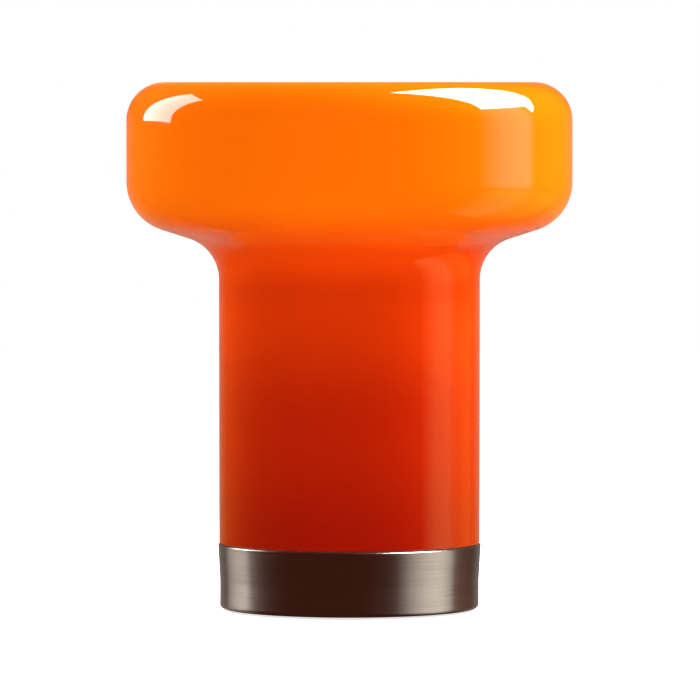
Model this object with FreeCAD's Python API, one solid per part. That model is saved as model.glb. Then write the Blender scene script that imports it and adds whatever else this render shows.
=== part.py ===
import FreeCAD, Part

import math
import os

# Table lamp: a one-piece blown-glass shade, with a wide flat-topped head on a straight neck,
# stands on a rubber seat in the mouth of a low brushed-metal foot ring.
# A base plate, an iron weight and a deck on spacers fill the ring.
# The deck carries the stem, an E27 lampholder and its bulb, up inside the glass.
# Frame: origin on the table under the lamp's axis, +Z up, +Y to the back, where the cord goes in.
# All lengths are millimetres and all angles are degrees.

vector = FreeCAD.Vector
UP = vector(0, 0, 1)
BACK = vector(0, 1, 0)

# Fits
FIT_GAP = 0.3          # between pieces that come apart by hand
HOLE_GAP = 0.1         # round a screw, tube or stem in its hole

# Glass shade
HEAD_DIAMETER = 218.6
NECK_DIAMETER = 128.0
SHADE_HEIGHT = 226.2
GLASS_WALL = 4.2
SHOULDER_RADIUS = 18.8      # outer edge of the flat top
HEAD_SIDE_DEPTH = 48.8      # from the top down to the end of the head's straight side
UNDERSIDE_RADIUS = 24.6     # lower outer corner of the head
UNDERSIDE_SLOPE = 17.9
THROAT_RADIUS = 21.1        # hollow curve from the head into the neck
CURVE_SHARE = 0.97          # most that these two curves may take of the room beside the neck
RIM_BEVEL = 0.8

# Foot ring
RING_HEIGHT = 31.5
RING_WALL = 1.5
RING_OVERHANG = 0.5         # the ring's mouth stands out past the glass neck
RING_FLARE = 0.95           # growth of the radius towards the mouth
RING_FLARE_HEIGHT = 17.5
RING_CORNER = 2.0
RING_EDGE = 0.5
LIP_WIDTH = 8.0
LIP_THICKNESS = 1.8
LIP_SCREW_COUNT = 4

# Rubber feet
FOOT_PROUD = 1.0            # the feet lift the ring clear of the table
FOOT_DIAMETER = 14.0
FOOT_EDGE = 0.8
FOOT_STEM_DIAMETER = 5.0
FOOT_BARB_DIAMETER = 6.6
FOOT_BARB_HEIGHT = 3.0
FOOT_MARGIN = 3.5           # from the ring's lip in to a foot
FOOT_COUNT = 4
FIRST_FOOT_ANGLE = 45.0

# Base plate, weight and deck
PLATE_THICKNESS = 2.5
WEIGHT_THICKNESS = 16.0
WEIGHT_MARGIN = 2.5         # from the bush nut's inner face in to the weight
WEIGHT_BORE = 24.0
CORD_SLOT_WIDTH = 12.0
DECK_THICKNESS = 1.5
DECK_SKIRT = 4.0
SPACER_MARGIN = 12.0        # from the weight's edge in to the spacers' centres
SPACER_ACROSS_FLATS = 8.0
SPACER_COUNT = 3
FIRST_SPACER_ANGLE = 270.0

# Screws: shank, head diameter and head height of the M3 and M4 sizes
M3_SHANK = 3.0
M3_SUNK_HEAD = 5.5
M4_SHANK = 4.0
M4_SUNK_HEAD = 7.5
M4_PAN_HEAD = 8.0
M4_PAN_HEIGHT = 2.6
SCREW_BITE_SHARE = 0.4      # part of a spacer's length that each of its two screws enters
DRIVER_SLOT_WIDTH = 1.0
DRIVER_SLOT_DEPTH = 0.7

# Rubber seat under the glass rim
SEAT_THICKNESS = 2.5
SEAT_LIP_HEIGHT = 6.0
SEAT_LIP_THICKNESS = 2.0

# Leaf springs that centre the glass
SPRING_THICKNESS = 0.5
SPRING_WIDTH = 10.0
SPRING_FOOT_REACH = 6.0     # the flat foot runs this far inside the screw
SPRING_RISE = 22.0          # from the deck to where the spring meets the glass
SPRING_CURL = 8.0
SPRING_SEAT_GAP = 3.0

# Stem
STEM_DIAMETER = 10.0
STEM_BORE = 7.8
STEM_TAIL = 3.0             # thread left below the nut
STEM_NUT_ACROSS_FLATS = 14.0
STEM_NUT_THICKNESS = 5.0
WASHER_DIAMETER = 20.0
WASHER_THICKNESS = 1.0
SLEEVE_DIAMETER = 16.0
SLEEVE_WALL = 1.0

# Lampholder
HOLDER_SHELL_COVER = 5.75   # insulation round the screw shell
HOLDER_BOSS_DIAMETER = 18.0
HOLDER_BOSS_HEIGHT = 5.0
HOLDER_DOME_HEIGHT = 9.0
HOLDER_BAND_HEIGHT = 4.0
HOLDER_FLOOR = 8.0          # depth of the stem's threaded hole in the cap
HOLDER_WALL = 2.0
TERMINAL_ROOM = 6.0         # height left for the wire ends under the insert
INSERT_THICKNESS = 12.0
HOLDER_LIP_HEIGHT = 2.7
HOLDER_MOUTH_GAP = 0.7      # round the bulb's cap, yet small enough to trap the screw shell
HOLDER_EDGE = 1.0
GRUB_DIAMETER = 3.0
TERMINAL_SPACING = 16.0
TERMINAL_DEPTH = 7.0
TERMINAL_HEAD_DIAMETER = 6.0
TERMINAL_HEAD_HEIGHT = 2.2
CONTACT_STRIP = 0.6
CONTACT_WIDTH = 7.0
CONTACT_RISE = 3.0

# E27 thread of the bulb's cap and the holder's screw shell
THREAD_PITCH = 25.4 / 7
CAP_ROOT_DIAMETER = 24.4
CAP_BEAD_RADIUS = 1.05
SHELL_BEAD_RADIUS = 0.9
SHELL_WALL = 1.2
SHELL_MARGIN = 0.6          # plain shell above the thread
SHELL_LENGTH = 25.0
BEAD_SINK = 0.1             # how deep a bead's centre lies in its wall

# Bulb
BULB_DIAMETER = 60.0
BULB_GLASS_WALL = 0.9
BULB_NECK_LENGTH = 8.0
BULB_THROAT_RADIUS = 30.5   # hollow curve from the neck into the ball
BULB_HEADROOM = 22.0        # from the bulb up to the glass, enough to unscrew it
CAP_LENGTH = 27.0
CAP_WALL = 1.3
CAP_SKIRT_WALL = 0.7
CAP_SKIRT_HEIGHT = 2.7
CAP_TAPER = 1.4
BULB_TIP_DIAMETER = 8.8
BULB_TIP_HEIGHT = 2.0
BULB_TIP_BRIM = 0.6
INSULATOR_DIAMETER = 21.2
INSULATOR_HEIGHT = 3.4

# Cord bush in the back of the ring
BUSH_BORE = 7.0
BUSH_BARREL = 10.0
BUSH_FLANGE = 15.0
BUSH_FLANGE_PROUD = 1.5     # past the ring's mouth
BUSH_FLANGE_EDGE = 0.8
BUSH_TAIL = 5.0             # barrel past the nut, in the weight's slot
BUSH_MOUTH_CURVE = 2.0      # rounds the mouth, which spares the cord
BUSH_NUT_ACROSS_FLATS = 14.0
BUSH_NUT_THICKNESS = 3.0

# Radii that several pieces share
neck_radius = NECK_DIAMETER / 2
head_radius = HEAD_DIAMETER / 2
glass_bore = neck_radius - GLASS_WALL
mouth_radius = neck_radius + RING_OVERHANG
ring_radius = mouth_radius - RING_FLARE
ring_bore = ring_radius - RING_WALL
bush_nut_face = math.sqrt(ring_bore ** 2 - BUSH_NUT_ACROSS_FLATS ** 2 / 3)
bush_nut_back = bush_nut_face - BUSH_NUT_THICKNESS
bush_tail = bush_nut_back - BUSH_TAIL
weight_radius = bush_nut_back - WEIGHT_MARGIN
spacer_circle = weight_radius - SPACER_MARGIN
foot_circle = ring_radius - LIP_WIDTH - FOOT_MARGIN - FOOT_DIAMETER / 2
lip_screw_circle = ring_radius - (LIP_WIDTH + RING_WALL) / 2
seat_lip_radius = glass_bore - FIT_GAP
seat_bore = seat_lip_radius - SEAT_LIP_THICKNESS
stem_radius = STEM_DIAMETER / 2
cap_root = CAP_ROOT_DIAMETER / 2
cap_crest = cap_root - BEAD_SINK + CAP_BEAD_RADIUS
shell_bore = cap_crest + FIT_GAP
shell_radius = shell_bore + SHELL_WALL
holder_radius = shell_radius + HOLE_GAP + HOLDER_SHELL_COVER
spigot_radius = holder_radius - HOLDER_WALL
insert_radius = spigot_radius - HOLDER_WALL
bulb_radius = BULB_DIAMETER / 2
bulb_neck = cap_crest - CAP_SKIRT_WALL - HOLE_GAP

# Heights from the table up
ring_foot = FOOT_PROUD
plate_foot = ring_foot + LIP_THICKNESS
plate_top = plate_foot + PLATE_THICKNESS
weight_top = plate_top + WEIGHT_THICKNESS
ring_top = ring_foot + RING_HEIGHT
rim_height = ring_top + FIT_GAP
deck_top = rim_height - SEAT_THICKNESS
deck_foot = deck_top - DECK_THICKNESS
skirt_foot = deck_top - DECK_SKIRT
bush_height = (plate_top + skirt_foot) / 2
screw_bite = (deck_foot - weight_top) * SCREW_BITE_SHARE
nut_top = deck_foot - WASHER_THICKNESS
nut_foot = nut_top - STEM_NUT_THICKNESS

# Heights of the bulb and its holder, from the top of the glass down
shade_top = rim_height + SHADE_HEIGHT
bulb_top = shade_top - GLASS_WALL - BULB_HEADROOM
ball_height = bulb_top - bulb_radius
throat_drop = math.sqrt((bulb_radius + BULB_THROAT_RADIUS) ** 2 - (bulb_neck + BULB_THROAT_RADIUS) ** 2)
throat_height = ball_height - throat_drop
bulb_neck_foot = throat_height - BULB_NECK_LENGTH
cap_top = bulb_neck_foot + CAP_SKIRT_HEIGHT
tip_height = cap_top - CAP_LENGTH
insulator_foot = tip_height + BULB_TIP_HEIGHT
cap_foot = insulator_foot + INSULATOR_HEIGHT
cap_thread_foot = cap_foot + CAP_TAPER + CAP_BEAD_RADIUS
cap_thread_top = bulb_neck_foot - CAP_TAPER - CAP_BEAD_RADIUS
insert_top = tip_height - FIT_GAP - CONTACT_RISE
shell_top = insert_top + SHELL_LENGTH
insert_foot = insert_top - INSERT_THICKNESS
holder_floor = insert_foot - TERMINAL_ROOM
holder_foot = holder_floor - HOLDER_FLOOR
holder_shoulder = holder_foot + HOLDER_BOSS_HEIGHT + HOLDER_DOME_HEIGHT + HOLDER_BAND_HEIGHT

# Directions round the axis, from +X towards +Y
spacer_angles = [FIRST_SPACER_ANGLE + 360 * i / SPACER_COUNT for i in range(SPACER_COUNT)]
foot_angles = [FIRST_FOOT_ANGLE + 360 * i / FOOT_COUNT for i in range(FOOT_COUNT)]
lip_screw_angles = [360 * i / LIP_SCREW_COUNT for i in range(LIP_SCREW_COUNT)]


def at(radius, height):
    """A point of a half section, in the XZ plane."""
    return vector(radius, 0, height)


def arc(centre, radius, start, end):
    """An arc in the XZ plane, between two directions from +X towards +Z."""
    angles = [math.radians(a) for a in (start, (start + end) / 2, end)]
    points = [centre + vector(math.cos(a), 0, math.sin(a)) * radius for a in angles]
    return Part.Arc(*points).toShape()


def lines(*points):
    """Straight edges from each point to the next."""
    return [Part.LineSegment(a, b).toShape() for a, b in zip(points, points[1:])]


def turned(edges):
    """The solid that a closed half section sweeps about the Z axis."""
    section = Part.Face(Part.Wire(Part.sortEdges(edges)[0]))
    return section.revolve(vector(), UP, 360)


def turned_polygon(*corners):
    """A turned solid whose half section has straight sides."""
    points = [at(*c) for c in corners]
    return turned(lines(*points, points[0]))


def post(radius, foot, top):
    """A round post on the Z axis."""
    return Part.makeCylinder(radius, top - foot, at(0, foot))


def tube(radius, bore, foot, top):
    """A round tube on the Z axis."""
    return post(radius, foot, top).cut(post(bore, foot, top))


def hexagon(across_flats, foot, top):
    """A hexagonal post on the Z axis."""
    corner = at(across_flats / math.sqrt(3), foot)
    outline = Part.makePolygon([FreeCAD.Rotation(UP, 60 * i).multVec(corner) for i in range(7)])
    return Part.Face(outline).extrude(UP * (top - foot))


def around(shape, radius, angles):
    """Copies of a shape made on the Z axis, moved out to a circle of places."""
    moved = shape.translated(vector(radius, 0, 0))
    return [moved.rotated(vector(), UP, a) for a in angles]


def bent_strip(points, thickness, width):
    """A flat strip bent along a line of points in the XZ plane."""
    side = Part.makePolygon(points).makeOffset2D(thickness / 2, fill=True)
    return side.translated(BACK * (-width / 2)).extrude(BACK * width)


def thread_bead(radius, bead, foot, top):
    """The round ridge of a rolled right-hand thread, wound about the Z axis."""
    helix = Part.makeHelix(THREAD_PITCH, top - foot, radius)
    section = Part.Wire(Part.makeCircle(bead, vector(radius, 0, 0), BACK))
    return Part.Wire(helix.Edges).makePipeShell([section], True, True).translated(at(0, foot))


def driver_slot(length, height, side):
    """The block that cuts a straight slot into a screw head; side is +1 for a head that faces up."""
    low = height - DRIVER_SLOT_DEPTH if side > 0 else height
    corner = vector(-length / 2, -DRIVER_SLOT_WIDTH / 2, low)
    return Part.makeBox(length, DRIVER_SLOT_WIDTH, DRIVER_SLOT_DEPTH, corner)


def sunk_screw(shank, head, foot, top, gap=0.0):
    """A countersunk screw that points up, or with a gap the hole that takes it."""
    rim = head / 2 + gap
    neck = shank / 2 + gap
    return turned_polygon((0, foot), (rim, foot), (neck, foot + rim - neck), (neck, top), (0, top))


def slotted_sunk_screw(shank, head, foot, top):
    """A countersunk screw with its driver slot, seen from below."""
    return sunk_screw(shank, head, foot, top).cut(driver_slot(head, foot, -1))


# Glass shade

def shade_outline(inset):
    """The shade's half section from its rim up to the axis, set in from the outer face."""
    slope = math.radians(UNDERSIDE_SLOPE)
    across = vector(math.sin(slope), 0, -math.cos(slope))
    # The two curves are drawn in together where the head leaves too little room beside the neck.
    room = (head_radius - neck_radius) / (1 - math.sin(slope))
    share = min(1.0, CURVE_SHARE * room / (UNDERSIDE_RADIUS + THROAT_RADIUS))
    corner = UNDERSIDE_RADIUS * share
    throat = THROAT_RADIUS * share
    straight = (room - corner - throat) * (1 - math.sin(slope)) / math.cos(slope)
    side_foot = shade_top - HEAD_SIDE_DEPTH
    neck_top = side_foot - (corner + throat) * math.cos(slope) - straight * math.sin(slope)
    corner_centre = at(head_radius - corner, side_foot)
    throat_centre = at(neck_radius + throat, neck_top)
    shoulder_centre = at(head_radius - SHOULDER_RADIUS, shade_top - SHOULDER_RADIUS)
    bore = neck_radius - inset
    edges = lines(at(bore, rim_height + RIM_BEVEL), at(bore, neck_top))
    edges.append(arc(throat_centre, throat + inset, 180, 90 + UNDERSIDE_SLOPE))
    edges += lines(throat_centre - across * (throat + inset), corner_centre + across * (corner - inset))
    edges.append(arc(corner_centre, corner - inset, UNDERSIDE_SLOPE - 90, 0))
    edges += lines(at(head_radius - inset, side_foot), at(head_radius - inset, shoulder_centre.z))
    edges.append(arc(shoulder_centre, SHOULDER_RADIUS - inset, 0, 90))
    edges += lines(at(shoulder_centre.x, shade_top - inset), at(0, shade_top - inset))
    return edges


def make_glass_shade():
    bevel_height = rim_height + RIM_BEVEL
    axis = lines(at(0, shade_top), at(0, shade_top - GLASS_WALL))
    rim = lines(
        at(glass_bore, bevel_height),
        at(glass_bore + RIM_BEVEL, rim_height),
        at(neck_radius - RIM_BEVEL, rim_height),
        at(neck_radius, bevel_height),
    )
    return turned(shade_outline(0) + axis + shade_outline(GLASS_WALL) + rim)


# Foot ring, base plate, feet, weight and deck

def ring_outline():
    """The ring's outer half section, from its lower face up to its mouth."""
    edges = [arc(at(ring_radius - RING_CORNER, ring_foot + RING_CORNER), RING_CORNER, -90, 0)]
    edges += lines(
        at(ring_radius, ring_foot + RING_CORNER),
        at(ring_radius, ring_top - RING_FLARE_HEIGHT),
        at(mouth_radius, ring_top - RING_EDGE),
    )
    edges.append(arc(at(mouth_radius - RING_EDGE, ring_top - RING_EDGE), RING_EDGE, 0, 90))
    return edges


def lip_screw_holes():
    """The countersunk holes that the lip's screws pass through."""
    hole = sunk_screw(M3_SHANK, M3_SUNK_HEAD, ring_foot, plate_top, HOLE_GAP)
    return around(hole, lip_screw_circle, lip_screw_angles)


def make_base_ring():
    inside = lines(
        at(mouth_radius - RING_EDGE, ring_top),
        at(mouth_radius - RING_WALL, ring_top),
        at(ring_bore, ring_top - RING_FLARE_HEIGHT),
        at(ring_bore, plate_foot),
        at(ring_radius - LIP_WIDTH, plate_foot),
        at(ring_radius - LIP_WIDTH, ring_foot),
        at(ring_radius - RING_CORNER, ring_foot),
    )
    bush_hole = bush_part(BUSH_BARREL / 2 + HOLE_GAP, 0, mouth_radius)
    return turned(ring_outline() + inside).cut([*lip_screw_holes(), bush_hole])


def make_base_plate():
    plate = post(ring_bore - FIT_GAP, plate_foot, plate_top)
    screw_hole = sunk_screw(M4_SHANK, M4_SUNK_HEAD, plate_foot, weight_top, HOLE_GAP)
    foot_hole = post(FOOT_STEM_DIAMETER / 2 + HOLE_GAP, plate_foot, plate_top)
    holes = around(screw_hole, spacer_circle, spacer_angles)
    holes += around(foot_hole, foot_circle, foot_angles)
    return plate.cut(holes + lip_screw_holes())


def make_rubber_feet():
    """Push-in feet: a pad under the plate, a stem through it and a barb above it."""
    pad = FOOT_DIAMETER / 2
    stem = FOOT_STEM_DIAMETER / 2
    barb = FOOT_BARB_DIAMETER / 2
    edges = [arc(at(pad - FOOT_EDGE, FOOT_EDGE), FOOT_EDGE, -90, 0)]
    edges += lines(
        at(pad, FOOT_EDGE),
        at(pad, plate_foot),
        at(stem, plate_foot),
        at(stem, plate_top),
        at(barb, plate_top),
        at(stem, plate_top + FOOT_BARB_HEIGHT),
        at(0, plate_top + FOOT_BARB_HEIGHT),
        at(0, 0),
        at(pad - FOOT_EDGE, 0),
    )
    return around(turned(edges), foot_circle, foot_angles)


def make_weight():
    """An iron disc, slotted at the back so that the cord reaches the stem."""
    disc = tube(weight_radius, WEIGHT_BORE / 2, plate_top, weight_top)
    slot_corner = vector(-CORD_SLOT_WIDTH / 2, 0, plate_top)
    slot = Part.makeBox(CORD_SLOT_WIDTH, weight_radius, WEIGHT_THICKNESS, slot_corner)
    screw_hole = post(M4_SHANK / 2 + HOLE_GAP, plate_top, weight_top)
    barb_top = plate_top + FOOT_BARB_HEIGHT + FIT_GAP
    barb_pocket = post(FOOT_BARB_DIAMETER / 2 + FIT_GAP, plate_top, barb_top)
    holes = around(screw_hole, spacer_circle, spacer_angles)
    holes += around(barb_pocket, foot_circle, foot_angles)
    return disc.cut([slot, *holes])


def make_spacers():
    hole = post(M4_SHANK / 2 + HOLE_GAP, weight_top, deck_foot)
    spacer = hexagon(SPACER_ACROSS_FLATS, weight_top, deck_foot).cut(hole)
    return around(spacer, spacer_circle, spacer_angles)


def make_deck():
    """A flat tray with its edge turned down, which carries the seat, the springs and the stem."""
    edge = ring_bore - FIT_GAP
    skirt = edge - DECK_THICKNESS
    hole = stem_radius + HOLE_GAP
    deck = turned_polygon(
        (hole, deck_foot),
        (skirt, deck_foot),
        (skirt, skirt_foot),
        (edge, skirt_foot),
        (edge, deck_top),
        (hole, deck_top),
    )
    screw_hole = post(M4_SHANK / 2 + HOLE_GAP, deck_foot, deck_top)
    return deck.cut(around(screw_hole, spacer_circle, spacer_angles))


def make_base_screws():
    """From below, through the plate and the weight into the spacers."""
    screw = slotted_sunk_screw(M4_SHANK, M4_SUNK_HEAD, plate_foot, weight_top + screw_bite)
    return Part.makeCompound(around(screw, spacer_circle, spacer_angles))


def make_deck_screws():
    """From above, through a spring's foot and the deck into the spacers."""
    seat = deck_top + SPRING_THICKNESS
    head_top = seat + M4_PAN_HEIGHT
    head = post(M4_PAN_HEAD / 2, seat, head_top)
    rounded = head.makeFillet(M4_PAN_HEIGHT / 2, [head.Edges[0]])
    screw = rounded.fuse(post(M4_SHANK / 2, deck_foot - screw_bite, seat))
    screw = screw.cut(driver_slot(M4_PAN_HEAD, head_top, 1))
    return Part.makeCompound(around(screw, spacer_circle, spacer_angles))


def make_lip_screws():
    """From below, through the ring's lip into the base plate."""
    screw = slotted_sunk_screw(M3_SHANK, M3_SUNK_HEAD, ring_foot, plate_top)
    return Part.makeCompound(around(screw, lip_screw_circle, lip_screw_angles))


# Seat and springs that hold the glass

def make_seat():
    """A rubber ring under the glass rim, with a lip that stands up inside the neck."""
    edge = ring_bore - FIT_GAP
    lip_top = rim_height + SEAT_LIP_HEIGHT
    return turned_polygon(
        (seat_bore, deck_top),
        (edge, deck_top),
        (edge, rim_height),
        (seat_lip_radius, rim_height),
        (seat_lip_radius, lip_top),
        (seat_bore, lip_top),
    )


def make_springs():
    """Bent strips under the deck screws, which reach out to the glass and curl back."""
    half = SPRING_THICKNESS / 2
    foot = deck_top + half
    touch = math.sqrt(seat_lip_radius ** 2 - (SPRING_WIDTH / 2) ** 2) - half
    touch_height = foot + SPRING_RISE
    route = [
        at(spacer_circle - SPRING_FOOT_REACH, foot),
        at(seat_bore - SPRING_SEAT_GAP, foot),
        at(touch, touch_height),
        at(touch - SPRING_CURL / 2, touch_height + SPRING_CURL),
    ]
    hole = post(M4_SHANK / 2 + HOLE_GAP, deck_top, deck_top + SPRING_THICKNESS)
    hole = hole.translated(vector(spacer_circle, 0, 0))
    return around(bent_strip(route, SPRING_THICKNESS, SPRING_WIDTH).cut(hole), 0, spacer_angles)


# Stem

def make_stem_tube():
    return tube(stem_radius, STEM_BORE / 2, nut_foot - STEM_TAIL, holder_floor)


def make_stem_washer():
    return tube(WASHER_DIAMETER / 2, stem_radius + HOLE_GAP, nut_top, deck_foot)


def make_stem_nut():
    hole = post(stem_radius + HOLE_GAP, nut_foot, nut_top)
    return hexagon(STEM_NUT_ACROSS_FLATS, nut_foot, nut_top).cut(hole)


def make_stem_sleeve():
    radius = SLEEVE_DIAMETER / 2
    return tube(radius, radius - SLEEVE_WALL, deck_top, holder_foot)


# Lampholder

def grub_screw(gap=0.0):
    """The set screw in the cap's boss, or with a gap its hole."""
    length = HOLDER_BOSS_DIAMETER / 2 - stem_radius
    start = vector(stem_radius, 0, holder_foot + HOLDER_BOSS_HEIGHT / 2)
    return Part.makeCylinder(GRUB_DIAMETER / 2 + gap, length, start, vector(1, 0, 0))


def make_holder_cap():
    """A cup on the stem: its dome is one arc from the boss up into the straight band."""
    hole = stem_radius + HOLE_GAP
    boss = HOLDER_BOSS_DIAMETER / 2
    boss_top = holder_foot + HOLDER_BOSS_HEIGHT
    dome_top = boss_top + HOLDER_DOME_HEIGHT
    ledge = insert_radius - HOLDER_WALL
    overhang = holder_radius - boss
    dome_radius = (overhang ** 2 + HOLDER_DOME_HEIGHT ** 2) / (2 * overhang)
    dome_centre = at(holder_radius - dome_radius, dome_top)
    dome_start = math.degrees(math.atan2(-HOLDER_DOME_HEIGHT, boss - dome_centre.x))
    edges = [arc(dome_centre, dome_radius, dome_start, 0)]
    edges += lines(
        at(holder_radius, dome_top),
        at(holder_radius, holder_shoulder),
        at(spigot_radius, holder_shoulder),
        at(spigot_radius, insert_top),
        at(insert_radius + HOLE_GAP, insert_top),
        at(insert_radius + HOLE_GAP, insert_foot),
        at(ledge, insert_foot),
        at(ledge, holder_floor),
        at(hole, holder_floor),
        at(hole, holder_foot),
        at(boss, holder_foot),
        at(boss, boss_top),
    )
    return turned(edges).cut(grub_screw(HOLE_GAP))


def terminal_places():
    """The two terminals' places, left and right of the axis."""
    return [vector(side * TERMINAL_SPACING / 2, 0, 0) for side in (-1, 1)]


def make_holder_insert():
    hole = post(M3_SHANK / 2 + HOLE_GAP, insert_foot, insert_foot + TERMINAL_DEPTH)
    return post(insert_radius, insert_foot, insert_top).cut([hole.translated(p) for p in terminal_places()])


def make_terminal_screws():
    head = post(TERMINAL_HEAD_DIAMETER / 2, insert_foot - TERMINAL_HEAD_HEIGHT, insert_foot)
    shank = post(M3_SHANK / 2, insert_foot, insert_foot + TERMINAL_DEPTH)
    slot = driver_slot(TERMINAL_HEAD_DIAMETER, insert_foot - TERMINAL_HEAD_HEIGHT, -1)
    screw = head.fuse(shank).cut(slot)
    return Part.makeCompound([screw.translated(p) for p in terminal_places()])


def make_centre_contact():
    """A brass tongue that springs up under the bulb's tip."""
    reach = TERMINAL_SPACING / 2
    foot = insert_top + CONTACT_STRIP / 2
    top = insert_top + CONTACT_RISE - CONTACT_STRIP / 2
    route = [at(-reach, foot), at(-reach / 2, foot), at(-reach / 8, top), at(reach / 2, top)]
    return bent_strip(route, CONTACT_STRIP, CONTACT_WIDTH)


def make_screw_shell():
    """The brass shell with the socket's thread rolled into it."""
    shell = tube(shell_radius, shell_bore, insert_top, shell_top)
    bead_foot = cap_thread_foot - THREAD_PITCH / 2
    bead_top = shell_top - SHELL_MARGIN - SHELL_BEAD_RADIUS
    return shell.fuse(thread_bead(shell_bore + BEAD_SINK, SHELL_BEAD_RADIUS, bead_foot, bead_top))


def make_holder_sleeve():
    """The outer sleeve screws over the cap's spigot and holds the shell down."""
    shell_seat = shell_radius + HOLE_GAP
    mouth_bore = cap_crest + HOLDER_MOUTH_GAP
    mouth = shell_top + HOLE_GAP + HOLDER_LIP_HEIGHT
    edges = [arc(at(holder_radius - HOLDER_EDGE, mouth - HOLDER_EDGE), HOLDER_EDGE, 0, 90)]
    edges += lines(
        at(holder_radius - HOLDER_EDGE, mouth),
        at(mouth_bore, mouth),
        at(mouth_bore, shell_top + HOLE_GAP),
        at(shell_seat, shell_top + HOLE_GAP),
        at(shell_seat, insert_top + HOLE_GAP),
        at(spigot_radius + HOLE_GAP, insert_top + HOLE_GAP),
        at(spigot_radius + HOLE_GAP, holder_shoulder),
        at(holder_radius, holder_shoulder),
        at(holder_radius, mouth - HOLDER_EDGE),
    )
    return turned(edges)


# Bulb

def make_bulb_contact():
    """A soldered tip: a shallow dome under a narrow straight brim."""
    radius = BULB_TIP_DIAMETER / 2
    rise = BULB_TIP_HEIGHT - BULB_TIP_BRIM
    dome_radius = (radius ** 2 + rise ** 2) / (2 * rise)
    dome_end = math.degrees(math.asin(radius / dome_radius)) - 90
    dome = arc(at(0, tip_height + dome_radius), dome_radius, -90, dome_end)
    brim = at(radius, tip_height + rise)
    sides = lines(brim, at(radius, insulator_foot), at(0, insulator_foot), at(0, tip_height))
    return turned([dome, *sides])


def make_bulb_insulator():
    tip = BULB_TIP_DIAMETER / 2
    shoulder = INSULATOR_DIAMETER / 2
    return turned_polygon((0, insulator_foot), (tip, insulator_foot), (shoulder, cap_foot), (0, cap_foot))


def make_bulb_cap():
    """The threaded metal cup, whose upper skirt grips the bulb's glass."""
    bore = cap_root - CAP_WALL
    skirt_bore = cap_crest - CAP_SKIRT_WALL
    cap = turned_polygon(
        (0, cap_foot),
        (INSULATOR_DIAMETER / 2, cap_foot),
        (cap_root, cap_foot + CAP_TAPER),
        (cap_root, bulb_neck_foot - CAP_TAPER),
        (cap_crest, bulb_neck_foot),
        (cap_crest, cap_top),
        (skirt_bore, cap_top),
        (skirt_bore, bulb_neck_foot),
        (bore, bulb_neck_foot),
        (bore, cap_foot + CAP_WALL),
        (0, cap_foot + CAP_WALL),
    )
    return cap.fuse(thread_bead(cap_root - BEAD_SINK, CAP_BEAD_RADIUS, cap_thread_foot, cap_thread_top))


def bulb_outline(inset):
    """The bulb's half section from its neck up to the axis, set in from the outer face."""
    throat_centre = at(bulb_neck + BULB_THROAT_RADIUS, throat_height)
    turn = math.degrees(math.atan2(throat_drop, throat_centre.x))
    edges = lines(at(bulb_neck - inset, bulb_neck_foot), at(bulb_neck - inset, throat_height))
    edges.append(arc(throat_centre, BULB_THROAT_RADIUS + inset, 180, 180 - turn))
    edges.append(arc(at(0, ball_height), bulb_radius - inset, -turn, 90))
    return edges


def make_bulb_glass():
    ends = lines(at(0, bulb_top), at(0, bulb_top - BULB_GLASS_WALL))
    ends += lines(at(bulb_neck - BULB_GLASS_WALL, bulb_neck_foot), at(bulb_neck, bulb_neck_foot))
    return turned(bulb_outline(0) + bulb_outline(BULB_GLASS_WALL) + ends)


# Cord bush

def bush_part(radius, start, end):
    """A round length of the bush, along +Y."""
    return Part.makeCylinder(radius, end - start, vector(0, start, bush_height), BACK)


def bush_mouth(face):
    """The quarter-round mouth that widens from the bush's bore out to its face."""
    bore = BUSH_BORE / 2
    rim = bore + BUSH_MOUTH_CURVE
    curve = arc(at(rim, 0), BUSH_MOUTH_CURVE, 180, 90)
    sides = lines(at(rim, BUSH_MOUTH_CURVE), at(0, BUSH_MOUTH_CURVE), at(0, 0), at(bore, 0))
    mouth = turned([curve, *sides])
    start = face - BUSH_MOUTH_CURVE
    return mouth.rotated(vector(), vector(1, 0, 0), -90).translated(vector(0, start, bush_height))


def make_cord_bush():
    """A flanged bush: its flange follows the ring's curve, its barrel passes through the wall."""
    face = mouth_radius + BUSH_FLANGE_PROUD
    flange = bush_part(BUSH_FLANGE / 2, ring_bore, face)
    flange = flange.makeFillet(BUSH_FLANGE_EDGE, [flange.Edges[0]])
    filled_ring = turned(
        ring_outline()
        + lines(
            at(mouth_radius - RING_EDGE, ring_top),
            at(0, ring_top),
            at(0, ring_foot),
            at(ring_radius - RING_CORNER, ring_foot),
        )
    )
    body = flange.cut(filled_ring).fuse(bush_part(BUSH_BARREL / 2, bush_tail, face))
    return body.cut([bush_part(BUSH_BORE / 2, bush_tail, face), bush_mouth(face)]).removeSplitter()


def make_bush_nut():
    nut = hexagon(BUSH_NUT_ACROSS_FLATS, 0, BUSH_NUT_THICKNESS)
    nut = nut.cut(post(BUSH_BARREL / 2 + HOLE_GAP, 0, BUSH_NUT_THICKNESS))
    nut = nut.rotated(vector(), vector(1, 0, 0), 90)
    return nut.translated(vector(0, bush_nut_face, bush_height))


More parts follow.
